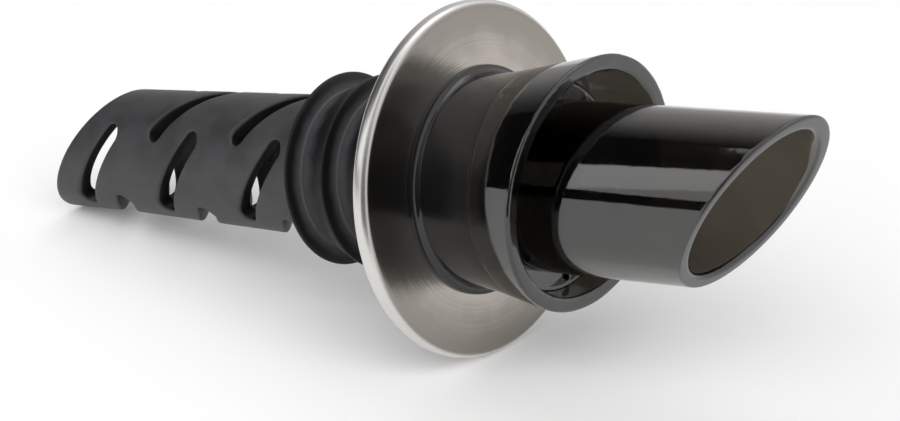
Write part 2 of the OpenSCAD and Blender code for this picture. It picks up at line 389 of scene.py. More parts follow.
@dataclass
class Wire:
    """A number on its way through a shader. Python's operators on it add Math nodes."""

    tree: "Tree"
    socket: Any

    def __add__(self, other: Any) -> "Wire":
        """The sum."""
        return self.tree.math("ADD", self, other)

    def __radd__(self, other: Any) -> "Wire":
        """The sum, with the number first."""
        return self.tree.math("ADD", other, self)

    def __sub__(self, other: Any) -> "Wire":
        """The difference."""
        return self.tree.math("SUBTRACT", self, other)

    def __rsub__(self, other: Any) -> "Wire":
        """The difference, with the number first."""
        return self.tree.math("SUBTRACT", other, self)

    def __mul__(self, other: Any) -> "Wire":
        """The product."""
        return self.tree.math("MULTIPLY", self, other)

    def __rmul__(self, other: Any) -> "Wire":
        """The product, with the number first."""
        return self.tree.math("MULTIPLY", other, self)

    def __truediv__(self, other: Any) -> "Wire":
        """The quotient."""
        return self.tree.math("DIVIDE", self, other)

    def clipped(self) -> "Wire":
        """The number held between 0 and 1."""
        return self.tree.math("MAXIMUM", self.tree.math("MINIMUM", self, 1.0), 0.0)

    def centred(self) -> "Wire":
        """Noise moved to lie around 0."""
        return self - 0.5


class Tree:
    """The nodes of one material or of the world."""

    def __init__(self, owner: Any) -> None:
        """Empties the owner's nodes.

        Args:
            owner: The material or world.
        """
        owner.use_nodes = True
        self.nodes = owner.node_tree.nodes
        self.links = owner.node_tree.links
        self.nodes.clear()

    def node(self, kind: str, settings: dict | None = None, inputs: dict | None = None) -> Any:
        """Adds a node, its settings first.

        Args:
            kind: The node's type.
            settings: Its settings by name, such as a Math node's operation.
            inputs: Values or links by socket.

        Returns:
            The node.
        """
        made = self.nodes.new(kind)
        for key, value in (settings or {}).items():
            setattr(made, key, value)
        for key, value in (inputs or {}).items():
            self.feed(made.inputs[key], value)
        return made

    def feed(self, socket: Any, value: Any) -> None:
        """Sets a socket to a value or links it.

        Args:
            socket: The input socket.
            value: A plain value, a wire or an output socket.
        """
        if isinstance(value, Wire):
            self.links.new(value.socket, socket)
        elif isinstance(value, bpy.types.NodeSocket):
            self.links.new(value, socket)
        else:
            socket.default_value = value

    def math(self, operation: str, first: Any, second: Any = 0.0) -> Wire:
        """One Math node on two numbers or wires."""
        made = self.node("ShaderNodeMath", {"operation": operation}, {0: first, 1: second})
        return Wire(self, made.outputs[0])

    def own_point(self, rest: Rest) -> Any:
        """The shaded point in the pourer's own frame, in millimetres.

        Args:
            rest: How the pourer lies.

        Returns:
            A vector socket with own x, y and z.
        """
        axes = np.stack([rest.up, rest.near, rest.along])
        shift = -axes @ rest.zero / MM
        turn = Matrix(axes.tolist()).to_euler("XYZ")
        where = self.node("ShaderNodeTexCoord").outputs["Object"]
        inputs = {"Vector": where, "Location": tuple(shift), "Rotation": tuple(turn),
                  "Scale": (1 / MM,) * 3}
        return self.node("ShaderNodeMapping", {"vector_type": "POINT"}, inputs).outputs[0]

    def split(self, vector: Any) -> list[Wire]:
        """The vector's x, y and z."""
        parts = self.node("ShaderNodeSeparateXYZ", None, {0: vector}).outputs
        return [Wire(self, part) for part in parts]

    def radius(self, own: Any) -> Wire:
        """Distance from the pourer's axis: the root of x squared plus y squared."""
        x, y, _ = self.split(own)
        return self.math("SQRT", x * x + y * y)

    def noise(self, vector: Any, scale: float, detail: float = 2.0, roughness: float = 0.5) -> Wire:
        """Smooth noise around 0.5.

        Args:
            vector: Where it is read.
            scale: Patches in each unit.
            detail: Number of finer layers.
            roughness: Strength of the finer layers.

        Returns:
            The noise.
        """
        inputs = {"Vector": vector, "Scale": scale, "Detail": detail, "Roughness": roughness}
        return Wire(self, self.node("ShaderNodeTexNoise", None, inputs).outputs["Fac"])

    def step(self, value: Wire, low: float, high: float) -> Wire:
        """A soft step from 0 at low to 1 at high.

        Args:
            value: What is compared.
            low: Where the step begins.
            high: Where it ends.

        Returns:
            The step.
        """
        settings = {"interpolation_type": "SMOOTHSTEP"}
        inputs = {"Value": value, "From Min": low, "From Max": high}
        return Wire(self, self.node("ShaderNodeMapRange", settings, inputs).outputs["Result"])

    def mix(self, share: Wire, first: Any, second: Any) -> Any:
        """A colour between two colours or links."""
        inputs = {0: share, 6: first, 7: second}
        return self.node("ShaderNodeMix", {"data_type": "RGBA"}, inputs).outputs[2]

    def bump(self, height: Wire, depth: float) -> Any:
        """A normal from a height, where 1 stands depth millimetres proud."""
        inputs = {"Height": height, "Distance": depth * MM}
        return self.node("ShaderNodeBump", None, inputs).outputs[0]

    def finish(self, shader: Any) -> None:
        """Sends a shader to the material's output."""
        self.node("ShaderNodeOutputMaterial", None, {"Surface": shader})


def grey(level: float) -> tuple[float, float, float, float]:
    """A neutral colour."""
    return (level, level, level, 1.0)


@dataclass(frozen=True)
class Finish:
    """A finish of one Principled shader, patterned in the pourer's own millimetres."""

    name: str

    def sockets(self, tree: Tree, own: Any) -> dict[str, Any]:
        """What the shader's sockets get, with links for what varies over the surface.

        Args:
            tree: The material's nodes.
            own: The shaded point in the pourer's own frame.

        Returns:
            Values and links by socket.
        """
        raise NotImplementedError

    def material(self, rest: Rest) -> bpy.types.Material:
        """Builds the finish.

        Args:
            rest: How the pourer lies.

        Returns:
            The material.
        """
        made = bpy.data.materials.new(self.name)
        tree = Tree(made)
        sockets = self.sockets(tree, tree.own_point(rest))
        tree.finish(tree.node("ShaderNodeBsdfPrincipled", None, sockets).outputs[0])
        return made


@dataclass(frozen=True)
class Moulding(Finish):
    """Black plastic with a fine spark-eroded grain and a faint cloudiness."""

    name: str = "matte_moulding"
    dark: tuple = (0.025, 0.025, 0.027, 1.0)
    pale: tuple = (0.040, 0.040, 0.043, 1.0)
    contrast: tuple = (0.35, 0.65)
    cloud: float = 0.35
    cloud_share: float = 0.7
    cloud_rough: float = 0.08
    grain: float = 4.5
    grain_depth: float = 0.012
    grain_rough: float = 0.12
    roughness: float = 0.5
    ior: float = 1.5

    def paint_recess_shade(self, tree: Tree, own: Any, colour: Any) -> Any:
        """The colour as it is: a plain moulding gets no painted shade in its recesses."""
        return colour

    def sockets(self, tree: Tree, own: Any) -> dict[str, Any]:
        """Grain in the normal, and grain and cloud in the colour and the roughness.

        Args:
            tree: The material's nodes.
            own: The shaded point in the pourer's own frame.

        Returns:
            Values and links by socket.
        """
        cloud = tree.noise(own, self.cloud, detail=3.0)
        fine = tree.noise(own, self.grain, detail=3.0, roughness=0.6)
        blend = cloud * self.cloud_share + fine * (1 - self.cloud_share)
        colour = tree.mix(tree.step(blend, *self.contrast), self.dark, self.pale)
        rough = self.roughness + self.grain_rough * fine.centred() + self.cloud_rough * cloud.centred()
        return {"Base Color": self.paint_recess_shade(tree, own, colour), "Roughness": rough, "IOR": self.ior,
                "Normal": tree.bump(fine, self.grain_depth)}


@dataclass(frozen=True, kw_only=True)
class SlottedMoulding(Moulding):
    """The same plastic with painted shade: darkened in the slots and the bore."""

    name: str = "slotted_moulding"
    nose: float
    length: float
    root_r: float
    tip_r: float
    # painted shade: the near-black colour that the slots and the bore fade to
    painted_recess_shade: tuple = (0.004, 0.004, 0.005, 1.0)
    skin: float = 0.12
    full: float = 0.45

    def paint_recess_shade(self, tree: Tree, own: Any, colour: Any) -> Any:
        """Paints shade that darkens with the depth under the tapered skin: root - taper (nose - z) -
        radius.

        Args:
            tree: The material's nodes.
            own: The shaded point in the pourer's own frame.
            colour: The colour at the skin.

        Returns:
            The colour with painted shade at that depth.
        """
        level = tree.split(own)[2]
        taper = (self.root_r - self.tip_r) / self.length
        depth = self.root_r - taper * (self.nose - level) - tree.radius(own)
        # painted shade: the colour deepens towards the recess shade with depth under the skin
        return tree.mix(tree.step(depth, self.skin, self.full), colour, self.painted_recess_shade)


@dataclass(frozen=True)
class Silicone(Finish):
    """Soft black silicone: dull, with painted light in its grooves and painted shade on its crests."""

    name: str = "matte_silicone"
    # painted light for the grooves and painted shade for the crests
    groove_painted_light: tuple = (0.062, 0.062, 0.066, 1.0)
    crest_painted_shade: tuple = (0.003, 0.003, 0.004, 1.0)
    groove_r: float = 8.8
    crest_r: float = 9.9
    cloud: float = 0.5
    cloud_reach: float = 0.8
    cloud_rough: float = 0.1
    grain: float = 7.0
    grain_depth: float = 0.006
    grain_rough: float = 0.06
    roughness: float = 0.5
    ior: float = 1.42

    def sockets(self, tree: Tree, own: Any) -> dict[str, Any]:
        """Painted light and shade by the distance from the axis, with an uneven border: lighter in the
        grooves, darker on the crests.

        Args:
            tree: The material's nodes.
            own: The shaded point in the pourer's own frame.

        Returns:
            Values and links by socket.
        """
        cloud = tree.noise(own, self.cloud, detail=3.0)
        fine = tree.noise(own, self.grain)
        uneven = tree.radius(own) + self.cloud_reach * cloud.centred()
        # painted light and shade: lighter near the grooves, darker towards the crests
        colour = tree.mix(tree.step(uneven, self.groove_r, self.crest_r), self.groove_painted_light, self.crest_painted_shade)
        rough = self.roughness + self.cloud_rough * cloud.centred() + self.grain_rough * fine.centred()
        return {"Base Color": colour, "Roughness": rough, "IOR": self.ior,
                "Normal": tree.bump(fine, self.grain_depth)}


@dataclass(frozen=True)
class TurnedSteel(Finish):
    """Satin stainless steel with the fine rings that turning leaves round the axis, a painted reflection
    that is brighter near the neck and darker outwards, and a painted highlight on the rim.
    """

    name: str = "turned_steel"
    # painted reflection: bright near the neck, dull (darker) towards the rim; the rim colour is a painted
    # highlight
    bright_painted_reflection: tuple = (0.49, 0.450, 0.415, 1.0)
    dull: tuple = (0.31, 0.286, 0.256, 1.0)
    rim: tuple = (0.70, 0.685, 0.665, 1.0)
    bright_r: float = 11.5
    dull_r: float = 17.2
    rim_r: float = 18.5
    rim_blend: float = 0.2
    rim_roughness: float = 0.30
    roughness: float = 0.18
    rings: float = 6.0
    ring_arcs: float = 0.6
    ring_depth: float = 0.016
    ring_reach: float = 3.0
    ring_rough: float = 0.08
    cloud: float = 0.25
    cloud_reach: float = 5.0

    def sockets(self, tree: Tree, own: Any) -> dict[str, Any]:
        """Rings are noise that varies with the radius and the level and hardly round the axis; the colour
        carries a painted reflection and a painted highlight on the rim.

        Args:
            tree: The material's nodes.
            own: The shaded point in the pourer's own frame.

        Returns:
            Values and links by socket.
        """
        x, _, z = tree.split(own)
        radius = tree.radius(own)
        inputs = {0: radius * self.rings, 1: z * self.rings, 2: x / radius * self.ring_arcs}
        across = tree.node("ShaderNodeCombineXYZ", None, inputs).outputs[0]
        ring = tree.noise(across, scale=1.0, detail=3.0, roughness=0.6)
        cloud = tree.noise(own, self.cloud)
        uneven = radius + self.cloud_reach * cloud.centred() + self.ring_reach * ring.centred()
        # painted reflection: the face's colour grades from bright near the neck to darker outwards
        face = tree.mix(tree.step(uneven, self.bright_r, self.dull_r), self.bright_painted_reflection, self.dull)
        edge = tree.step(radius, self.rim_r - self.rim_blend, self.rim_r + self.rim_blend)
        rough = self.roughness + (self.rim_roughness - self.roughness) * edge
        # painted highlight: the rim's colour is raised above the face's
        return {"Base Color": tree.mix(edge, face, self.rim), "Metallic": 1.0,
                "Roughness": rough + self.ring_rough * ring.centred(),
                "Normal": tree.bump(ring, self.ring_depth)}


@dataclass(frozen=True)
class SmokedGloss(Finish):
    """Polished smoked plastic: nearly black, brown where light comes through one wall."""

    name: str = "smoked_gloss"
    thick: tuple = (0.058, 0.050, 0.039, 1.0)
    thin: tuple = (0.080, 0.070, 0.054, 1.0)
    cloud: float = 0.3
    cloud_depth: float = 0.02
    cloud_rough: float = 0.03
    specks: float = 3.0
    speck_range: tuple = (0.62, 0.8)
    speck_rough: float = 0.05
    roughness: float = 0.04
    ior: float = 1.8

    def sockets(self, tree: Tree, own: Any) -> dict[str, Any]:
        """Clear plastic with cloud in its tint and specks that dull the polish.

        Args:
            tree: The material's nodes.
            own: The shaded point in the pourer's own frame.

        Returns:
            Values and links by socket.
        """
        cloud = tree.noise(own, self.cloud)
        specks = tree.step(tree.noise(own, self.specks, detail=4.0, roughness=0.7), *self.speck_range)
        rough = self.roughness + self.speck_rough * specks + self.cloud_rough * cloud
        return {"Base Color": tree.mix(cloud, self.thick, self.thin), "Roughness": rough,
                "IOR": self.ior, "Transmission Weight": 1.0,
                "Normal": tree.bump(cloud, self.cloud_depth)}


@dataclass(frozen=True)
class DeepSmokedGloss(SmokedGloss):
    """The same plastic with more smoke in it, for the collar."""

    name: str = "smoked_collar"
    thick: tuple = (0.034, 0.030, 0.023, 1.0)
    thin: tuple = (0.050, 0.044, 0.034, 1.0)


@dataclass(frozen=True)
class CloudedBlack(Finish):
    """Opaque black with a slow cloud in its colour, its roughness and its normal."""

    black: tuple
    worn: tuple
    cloud: float
    detail: float
    cloud_depth: float
    cloud_rough: float
    roughness: float
    ior: float = 1.5

    def sockets(self, tree: Tree, own: Any) -> dict[str, Any]:
        """One noise drives the three.

        Args:
            tree: The material's nodes.
            own: The shaded point in the pourer's own frame.

        Returns:
            Values and links by socket.
        """
        cloud = tree.noise(own, self.cloud, self.detail)
        return {"Base Color": tree.mix(cloud, self.black, self.worn),
                "Roughness": self.roughness + self.cloud_rough * cloud.centred(),
                "IOR": self.ior, "Normal": tree.bump(cloud, self.cloud_depth)}


@dataclass(frozen=True)
class SolidGloss(CloudedBlack):
    """Opaque black plastic with a soft polish."""

    name: str = "solid_gloss"
    black: tuple = (0.0025, 0.0025, 0.0035, 1.0)
    worn: tuple = (0.005, 0.005, 0.006, 1.0)
    cloud: float = 0.4
    detail: float = 3.0
    cloud_depth: float = 0.02
    cloud_rough: float = 0.08
    roughness: float = 0.10
    ior: float = 1.6


@dataclass(frozen=True)
class SealRubber(CloudedBlack):
    """Smooth black seal rubber with a faint bloom."""

    name: str = "seal_rubber"
    black: tuple = (0.012, 0.012, 0.012, 1.0)
    worn: tuple = (0.022, 0.022, 0.022, 1.0)
    cloud: float = 1.5
    detail: float = 2.0
    cloud_depth: float = 0.01
    cloud_rough: float = 0.2
    roughness: float = 0.4


def dress(piece: bpy.types.Object, finish: bpy.types.Material, node: str) -> None:
    """Gives a new piece its finish and its place in the frame.

    Args:
        piece: The new piece.
        finish: Its material.
        node: The CAD node that it stands for.
    """
    piece.data.materials.clear()
    piece.data.materials.append(finish)
    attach(piece, BODY)
    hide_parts(node)


@dataclass
class SteelFlange(Ring):
    """The steel disc that stops at the bottle's lip."""

    name: str = "steel_flange_turned"
    flange_r: float = 18.9
    flange_t: float = 1.9
    rim_round: float = 0.7
    seat_depth: float = 0.3
    recess_r: float = 9.25
    hole_r: float = 6.65
    edge: float = 0.12
    hole_edge: float = 0.1
    inner_edge: float = 0.05

    def corners(self, turns: np.ndarray) -> list:
        """The disc from its hole outwards, and back over the face.

        Args:
            turns: Angles round the axis in radians; not used here.

        Returns:
            The outline's corners.
        """
        under = self.seat_depth - self.flange_t
        return [
            (self.hole_r, under, self.hole_edge),
            (self.recess_r, under, self.inner_edge),
            (self.recess_r, -self.flange_t, self.edge),
            (self.flange_r, -self.flange_t, self.rim_round),
            (self.flange_r, 0.0, self.rim_round),
            (self.hole_r, 0.0, self.hole_edge),
        ]


@dataclass
class Neck(Ring):
    """The waisted black neck that stands on the disc and carries the collar."""

    name: str = "neck_waisted"
    waist_r: float = 11.3
    top_r: float = 12.2
    height: float = 7.9
    foot: float = 0.3
    fillet: float = 0.8
    fillet_arc: tuple = (265, 180)
    bore_r: float = 10.4
    bore_floor: float = 0.6
    hole_r: float = 6.65
    edge: float = 0.12
    foot_edge: float = 0.03
    bead_edge: float = 0.1
    floor_edge: float = 0.2
    hole_edges: tuple = (0.05, 0.1)

    def side(self, steps: int = 32) -> list:
        """The waist: radius waist + (top - waist)(1 - cos 90f) at level low + (height - low) f.

        Args:
            steps: Number of equal steps.

        Returns:
            The corners between the fillet and the top, without rounding.
        """
        low = self.foot + self.fillet
        share = np.linspace(0, 1, steps + 1)[1:-1]
        radius = self.waist_r + (self.top_r - self.waist_r) * (1 - np.cos(share * math.pi / 2))
        level = low + (self.height - low) * share
        return [(r, z, 0.0) for r, z in zip(radius, level)]

    def corners(self, turns: np.ndarray) -> list:
        """The neck from its hole outwards, up the waist and down the bore.

        Args:
            turns: Angles round the axis in radians; not used here.

        Returns:
            The outline's corners.
        """
        foot_r = self.waist_r + self.fillet
        return [
            (self.hole_r, 0.0, self.hole_edges[0]),
            (foot_r, 0.0, self.foot_edge),
            (foot_r, self.foot, self.bead_edge),
            *arc((foot_r, self.foot + self.fillet), self.fillet, *self.fillet_arc, steps=12),
            *self.side(),
            (self.top_r, self.height, self.edge),
            (self.bore_r, self.height, self.edge),
            (self.bore_r, self.bore_floor, self.floor_edge),
            (self.hole_r, self.bore_floor, self.hole_edges[1]),
        ]


@dataclass(kw_only=True)
class Stopper(Ring):
    """The silicone plug with its umbrella fins, seated under the disc."""

    name: str = "stopper_finned"
    turns: int = 256
    step: float = 0.35
    flange: SteelFlange
    length: float = 19.0
    fins: int = 3
    fin_r: float = 10.5
    fin_pitch: float = 5.1
    nose_cone: float = 2.5
    groove_r: float = 8.6
    fin_back: float = 0.4
    crest_t: float = 0.5
    crest_arc: tuple = (-60.0, 70.0)
    shoulder_r: float = 9.2
    nose_r: float = 7.85
    bore_r: float = 7.15
    head_r: float = 8.05
    head_t: float = 1.55
    bore_edge: float = 0.15
    fin_edge: float = 0.25
    shoulder_edge: float = 0.4
    head_edge: float = 0.1

    def fin(self, index: int, nose: float) -> list:
        """One fin from its crest to the groove behind it.

        Args:
            index: The fin's number, 0 next to the nose.
            nose: Level of the nose.

        Returns:
            The fin's corners.
        """
        crest = nose + self.nose_cone + index * self.fin_pitch
        half = self.crest_t / 2
        tip = arc((self.fin_r - half, crest - half), half, *self.crest_arc, steps=10)
        return [*tip, (self.groove_r, crest + self.fin_back, self.fin_edge)]

    def corners(self, turns: np.ndarray) -> list:
        """The stopper from its nose over the fins, and back down the bore.

        Args:
            turns: Angles round the axis in radians; not used here.

        Returns:
            The outline's corners.
        """
        nose = -self.flange.flange_t - self.length
        top = self.flange.seat_depth - self.flange.flange_t
        last = nose + self.nose_cone + (self.fins - 1) * self.fin_pitch + self.fin_back
        fins = [corner for i in range(self.fins) for corner in self.fin(i, nose)]
        return [
            (self.bore_r, nose, self.bore_edge),
            (self.nose_r, nose, self.fin_edge),
            *fins,
            (self.shoulder_r, last + self.shoulder_r - self.groove_r, self.shoulder_edge),
            (self.shoulder_r, top, self.head_edge),
            (self.head_r, top, self.head_edge),
            (self.head_r, top - self.head_t, self.head_edge),
            (self.bore_r, top - self.head_t, self.head_edge),
        ]


@dataclass
class AerationTube(Solid):
    """The slotted tube with its slanted tip and the sleeve that reaches into the stopper."""

    name: str = "aeration_tube_slotted"
    nose: float = -20.9
    length: float = 35.5
    root_r: float = 7.85
    tip_r: float = 7.05
    wall: float = 1.8
    tip_cut: float = 36.0
    cut_turn: float = -12.0
    sleeve_r: float = 7.1
    sleeve_wall: float = 0.75
    sleeve_length: float = 9.0
    sleeve_root: float = 1.0
    rows: int = 5
    stations: int = 3
    slot_start: float = 5.2
    slot_pitch: float = 12.95
    slot_w: float = 1.9
    slot_length: float = 11.6
    slot_lean: float = 37.0
    slot_turn: float = 90.0
    tip_land: float = 1.2
    tries: int = 25
    edge: float = 0.32
    tip_edge: float = 0.45

    def tip_level(self, turn: np.ndarray, radius: np.ndarray | float) -> np.ndarray:
        """Level of the slanted tip: middle + tan(cut) r cos(a - turn)."""
        aside = turn - math.radians(self.cut_turn)
        return self.nose - self.length + math.tan(math.radians(self.tip_cut)) * radius * np.cos(aside)

    def slots(self) -> list[tuple[float, float, float]]:
        """Turn, level and far end of each slot, cut short or left out where the tip is near.

        Returns:
            (row in radians, station level, end along the slot).
        """
        half = (self.slot_length - self.slot_w) / 2
        lean = math.radians(self.slot_lean)
        runs = np.linspace(-half, half, self.tries)
        kept = []
        for i in range(self.rows):
            for j in range(self.stations):
                row = math.radians(self.slot_turn + 360 * i / self.rows)
                station = self.nose - self.slot_start - j * self.slot_pitch
                aside = row + np.arcsin(runs * math.cos(lean) / self.root_r)
                low = station - runs * math.sin(lean) - self.slot_w / 2 - self.tip_land
                clear = runs[low >= self.tip_level(aside, self.tip_r)]
                if len(clear) and clear.max() >= 0:
                    kept.append((row, station, float(clear.max())))
        return kept

    def slot_gap(self, turn: np.ndarray, level: np.ndarray, radius: np.ndarray) -> np.ndarray:
        """Distance to the nearest slot's wall, negative in a slot.

        A slot is a stadium in the plane that touches the tube: with c = r sin(a - row), the run
        along it is u = c cos(lean) - (z - station) sin(lean) and v is square to u.

        Args:
            turn: Angles round the axis in radians.
            level: Levels along the axis.
            radius: Distances from the axis.

        Returns:
            The distance at each point.
        """
        half = (self.slot_length - self.slot_w) / 2
        lean = math.radians(self.slot_lean)
        gap = np.full(np.broadcast(turn, level, radius).shape, self.slot_pitch)
        for row, station, end in self.slots():
            across = radius * np.sin(turn - row)
            rise = level - station
            u = across * math.cos(lean) - rise * math.sin(lean)
            v = across * math.sin(lean) + rise * math.cos(lean)
            wall = np.hypot(u - np.clip(u, -half, end), v) - self.slot_w / 2
            gap = np.where(np.cos(turn - row) > 0, np.minimum(gap, wall), gap)
        return gap

    def depth(self, turn: np.ndarray, level: np.ndarray, radius: np.ndarray) -> np.ndarray:
        """Tapered wall cut by the tip's plane, joined to the sleeve, less the slots.

        Args:
            turn: Angles round the axis in radians.
            level: Levels along the axis.
            radius: Distances from the axis.

        Returns:
            The depth at each point, negative inside.
        """
        tip_start = self.nose - self.length + self.tip_r * math.tan(math.radians(self.tip_cut))
        outer = np.interp(level, [tip_start, self.nose], [self.tip_r, self.root_r])
        wall = np.maximum(radius - outer, outer - self.wall - radius)
        cut = (self.tip_level(turn, radius) - level) * math.cos(math.radians(self.tip_cut))
        tube = np.maximum(round_max(wall, cut, self.tip_edge), level - self.nose)
        sleeve = np.maximum(radius - self.sleeve_r, self.sleeve_r - self.sleeve_wall - radius)
        span = np.maximum(self.nose - self.sleeve_root - level, level - self.nose - self.sleeve_length)
        whole = np.minimum(tube, np.maximum(sleeve, span))
        return round_max(whole, -self.slot_gap(turn, level, radius), self.edge)

    def reach(self) -> tuple[tuple, tuple]:
        """From the low end of the tip to the sleeve's far end.

        Returns:
            Lowest and highest level, and least and greatest radius.
        """
        low = self.nose - self.length - self.tip_r * math.tan(math.radians(self.tip_cut))
        levels = (low - self.room, self.nose + self.sleeve_length + self.room)
        return levels, (self.tip_r - self.wall - self.room, self.root_r + self.room)


@dataclass
class Collar(Solid):
    """The flared collar with its slanted rim and the air holes in its floor."""

    name: str = "collar_flared"
    foot: float = 7.9
    foot_r: float = 12.2
    flare: float = 0.2
    wall: float = 1.6
    floor: float = 1.4
    height: float = 6.3
    cut: float = 10.0
    cut_turn: float = -12.0
    hole_r: float = 7.65
    vents: int = 8
    vent_d: float = 1.0
    vent_edge: float = 0.15
    spout_r: float = 8.95
    lip: float = 0.35
    rim_room: float = 2.0
    top_room: float = 0.6

    def depth(self, turn: np.ndarray, level: np.ndarray, radius: np.ndarray) -> np.ndarray:
        """Flared cup cut by the rim's plane, less the middle hole and the air holes.

        Args:
            turn: Angles round the axis in radians.
            level: Levels along the axis.
            radius: Distances from the axis.

        Returns:
            The depth at each point, negative inside.
        """
        lean = math.cos(math.atan(self.flare))
        outside = (radius - self.foot_r - self.flare * (level - self.foot)) * lean
        inside = outside + self.wall * lean
        slope = math.tan(math.radians(self.cut)) * np.cos(turn - math.radians(self.cut_turn))
        rim = (level - self.foot - self.height - slope * radius) * math.cos(math.radians(self.cut))
        cup = np.minimum(-inside, level - self.foot - self.floor)
        whole = round_max(round_max(outside, cup, self.lip), rim, self.lip)
        whole = np.maximum(np.maximum(whole, self.foot - level), self.hole_r - radius)
        ring = (self.spout_r + self.foot_r + self.flare * self.floor - self.wall) / 2
        pitch = 2 * math.pi / self.vents
        aside = (turn + pitch / 2) % pitch - pitch / 2
        hole = np.hypot(radius * np.cos(aside) - ring, radius * np.sin(aside)) - self.vent_d / 2
        return round_max(whole, -hole, self.vent_edge)

    def reach(self) -> tuple[tuple, tuple]:
        """From the foot to above the rim's highest point.

        Returns:
            Lowest and highest level, and least and greatest radius.
        """
        slope = math.tan(math.radians(self.cut))
        top = self.height + (self.foot_r + self.rim_room) * slope + self.top_room
        radii = (self.hole_r - self.room, self.foot_r + self.flare * top + self.room)
        return (self.foot - self.room, self.foot + top), radii


@dataclass
class Spout(Ring):
    """The pouring tube with its slanted mouth and its spigot."""

    name: str = "spout_tube_slanted"
    foot: float = 9.3
    length: float = 25.2
    outer_r: float = 8.95
    wall: float = 1.5
    cut: float = 36.5
    cut_turn: float = -12.0
    spigot_r: float = 7.6
    spigot_wall: float = 1.5
    spigot_foot: float = 4.0
    seal_d: float = 0.8
    seal_h: float = 0.9
    seal_level: float = 5.95
    lip: float = 0.22
    inner_lip: float = 0.8
    spigot_edges: tuple = (0.1, 0.2)
    foot_edges: tuple = (0.05, 0.2)
    bore_edges: tuple = (0.6, 0.4)

    def mouth(self, turns: np.ndarray, radius: float) -> np.ndarray:
        """Level of the slanted mouth: middle + tan(cut) r cos(a - turn)."""
        slope = math.tan(math.radians(self.cut))
        return self.foot + self.length + slope * radius * np.cos(turns - math.radians(self.cut_turn))

    def corners(self, turns: np.ndarray) -> list:
        """The spout from its spigot up to the mouth, which rises and falls, and back inside.

        Args:
            turns: Angles round the axis in radians.

        Returns:
            The outline's corners.
        """
        bore = self.outer_r - self.wall
        channel = self.spigot_r - self.spigot_wall
        seal_r = self.spigot_r - self.seal_d
        low, high = self.seal_level - self.seal_h / 2, self.seal_level + self.seal_h / 2
        return [
            (channel, self.spigot_foot, self.spigot_edges[0]),
            (self.spigot_r, self.spigot_foot, self.spigot_edges[1]),
            (self.spigot_r, low, 0.0),
            (seal_r, low, 0.0),
            (seal_r, high, 0.0),
            (self.spigot_r, high, 0.0),
            (self.spigot_r, self.foot, self.foot_edges[0]),
            (self.outer_r, self.foot, self.foot_edges[1]),
            (self.outer_r, self.mouth(turns, self.outer_r), self.lip),
            (bore, self.mouth(turns, bore), self.inner_lip),
            (bore, self.foot + bore - channel, self.bore_edges[0]),
            (channel, self.foot, self.bore_edges[1]),
        ]


@dataclass
class Camera:
    """The photograph's view: a long lens from the front right, looking down."""

    place: tuple = (194.95, -237.96, 149.72)
    azimuth: float = 38.49
    elevation: float = 24.06
    lens: float = 125.16
    sensor: float = 36.0
    nearest: float = 0.01

    def build(self) -> None:
        """Makes the camera and hands it to the scene."""
        data = bpy.data.cameras.new("camera")
        data.lens = self.lens
        data.sensor_fit = "HORIZONTAL"
        data.sensor_width = self.sensor
        data.clip_start = self.nearest
        made = bpy.data.objects.new("camera", data)
        made.location = [MM * v for v in self.place]
        made.rotation_euler = (math.radians(90 - self.elevation), 0.0, math.radians(self.azimuth))
        bpy.context.scene.collection.objects.link(made)
        bpy.context.scene.camera = made


def towards(azimuth: float, elevation: float) -> np.ndarray:
    """Direction from the object: azimuth 0 is -Y, 90 is +X."""
    a, e = math.radians(azimuth), math.radians(elevation)
    return np.array([math.sin(a) * math.cos(e), -math.cos(a) * math.cos(e), math.sin(e)])


@dataclass(frozen=True)
class Panel:
    """A patch of the studio's sky, between two azimuths and two elevations at one distance."""

    name: str
    azimuth: tuple
    elevation: tuple
    distance: float

    def build(self) -> None:
        """Makes the patch."""
        raise NotImplementedError


@dataclass(frozen=True)
class Softbox(Panel):
    """A flat lamp of one radiance, which lights dull surfaces alone."""

    radiance: float

    def build(self) -> None:
        """Makes the lamp, turned towards the pourer's middle."""
        azimuth, elevation = sum(self.azimuth) / 2, sum(self.elevation) / 2
        wide = math.radians(np.ptp(self.azimuth) / 2) * math.cos(math.radians(elevation))
        width = 2 * self.distance * math.tan(wide)
        height = 2 * self.distance * math.tan(math.radians(np.ptp(self.elevation) / 2))
        data = bpy.data.lights.new(self.name, "AREA")
        data.shape = "RECTANGLE"
        data.size, data.size_y = width, height
        data.energy = self.radiance * math.pi * width * height
        made = bpy.data.objects.new(self.name, data)
        made.visible_camera = False
        made.visible_glossy = False
        made.location = tuple(self.distance * towards(azimuth, elevation) + MIDDLE)
        made.rotation_euler = (math.radians(90 - elevation), 0.0, math.radians(azimuth))
        bpy.context.scene.collection.objects.link(made)


